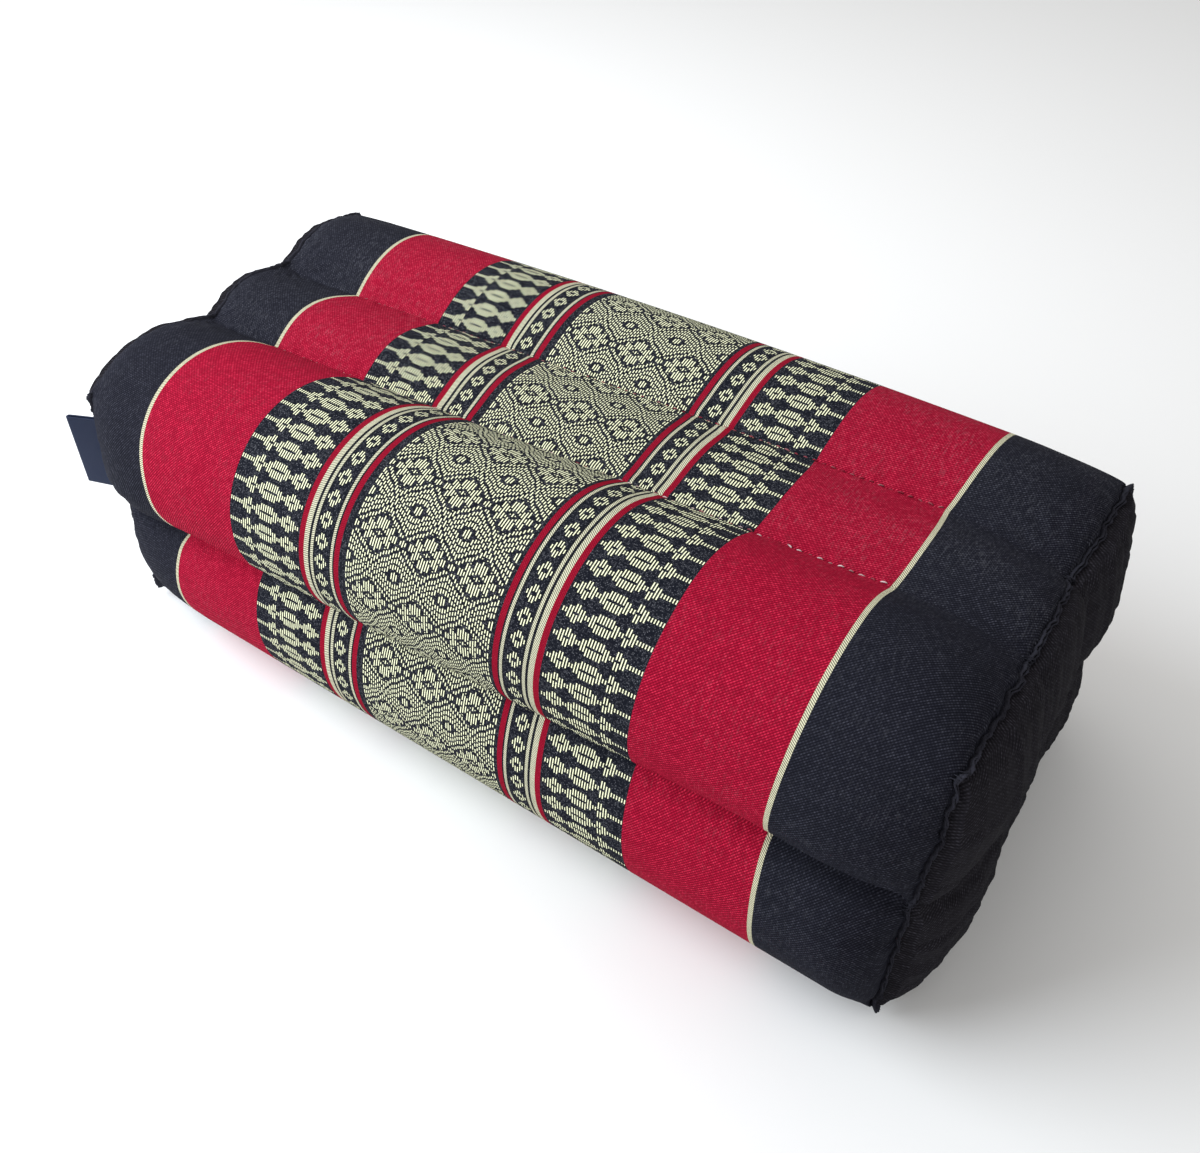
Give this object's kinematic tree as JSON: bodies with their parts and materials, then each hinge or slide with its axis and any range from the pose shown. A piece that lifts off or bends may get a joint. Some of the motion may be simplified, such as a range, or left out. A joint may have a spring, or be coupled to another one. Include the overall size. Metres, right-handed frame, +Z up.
{
  "type": "block meditation cushion",
  "caption": "Long rectangular filled cushion sewn into channels side by side in two layers, closed by plain end panels, with a small folded ribbon tab in one end seam.",
  "frame": {"origin": "bottom centre of the bounding box of the solids, on the surface that the cushion rests on", "axes": "+X along the cushion towards the end without the tab, +Y away from the long side on which the tab lies, +Z up"},
  "size_m": [0.3598, 0.1842, 0.1261],
  "materials": {
    "sleeve_weave": "matt woven cotton in crossways bands: near black, cream, crimson and patterned",
    "end_weave": "matt plain woven cotton, near black",
    "ribbon": "smooth woven ribbon, dark blue, blank"
  },
  "bodies": {
    "root": {"body": "sleeve_weave", "end_panel_left": "end_weave", "end_panel_right": "end_weave", "label": "ribbon"}
  },
  "joints": []
}
